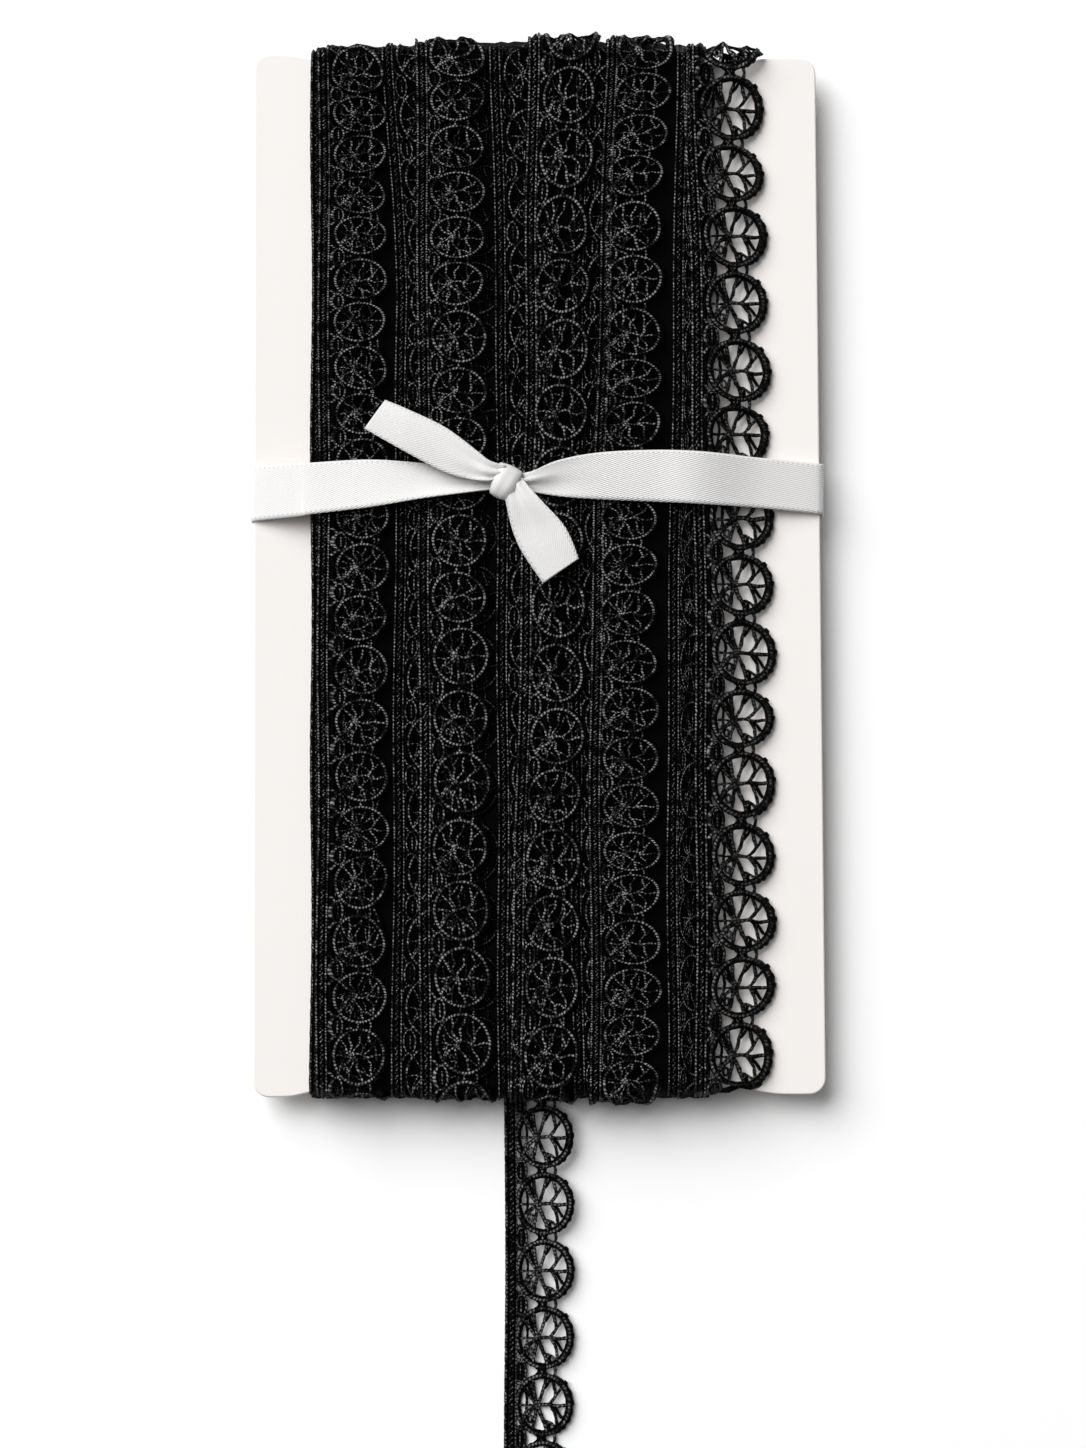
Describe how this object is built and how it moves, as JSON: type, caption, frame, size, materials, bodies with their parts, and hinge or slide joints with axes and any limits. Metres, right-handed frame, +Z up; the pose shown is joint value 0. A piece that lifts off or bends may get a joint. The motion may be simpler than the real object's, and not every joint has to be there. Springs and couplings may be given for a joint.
{
  "type": "scalloped lace trim wound on a card",
  "caption": "Narrow black guipure lace trim with a scalloped wheel edge, wound in columns round a flat board card and tied with a satin ribbon, its loose end hanging out below.",
  "frame": {"origin": "On the surface that the part rests on, under the middle of the card.", "axes": "+Z is up, out of the card's front. +Y runs along the card, away from the loose end. +X runs across the card to the side with the open scallops."},
  "size_m": [0.1026, 0.2594, 0.0157],
  "materials": {
    "board": "matt off-white board",
    "black_thread": "satin-stitched black thread with a faint sheen",
    "white_satin": "white satin weave with stitched edges"
  },
  "bodies": {
    "root": {"card": "board", "lace_winding": "black_thread", "lace_tail": "black_thread", "ribbon_tie": "white_satin"}
  },
  "joints": []
}
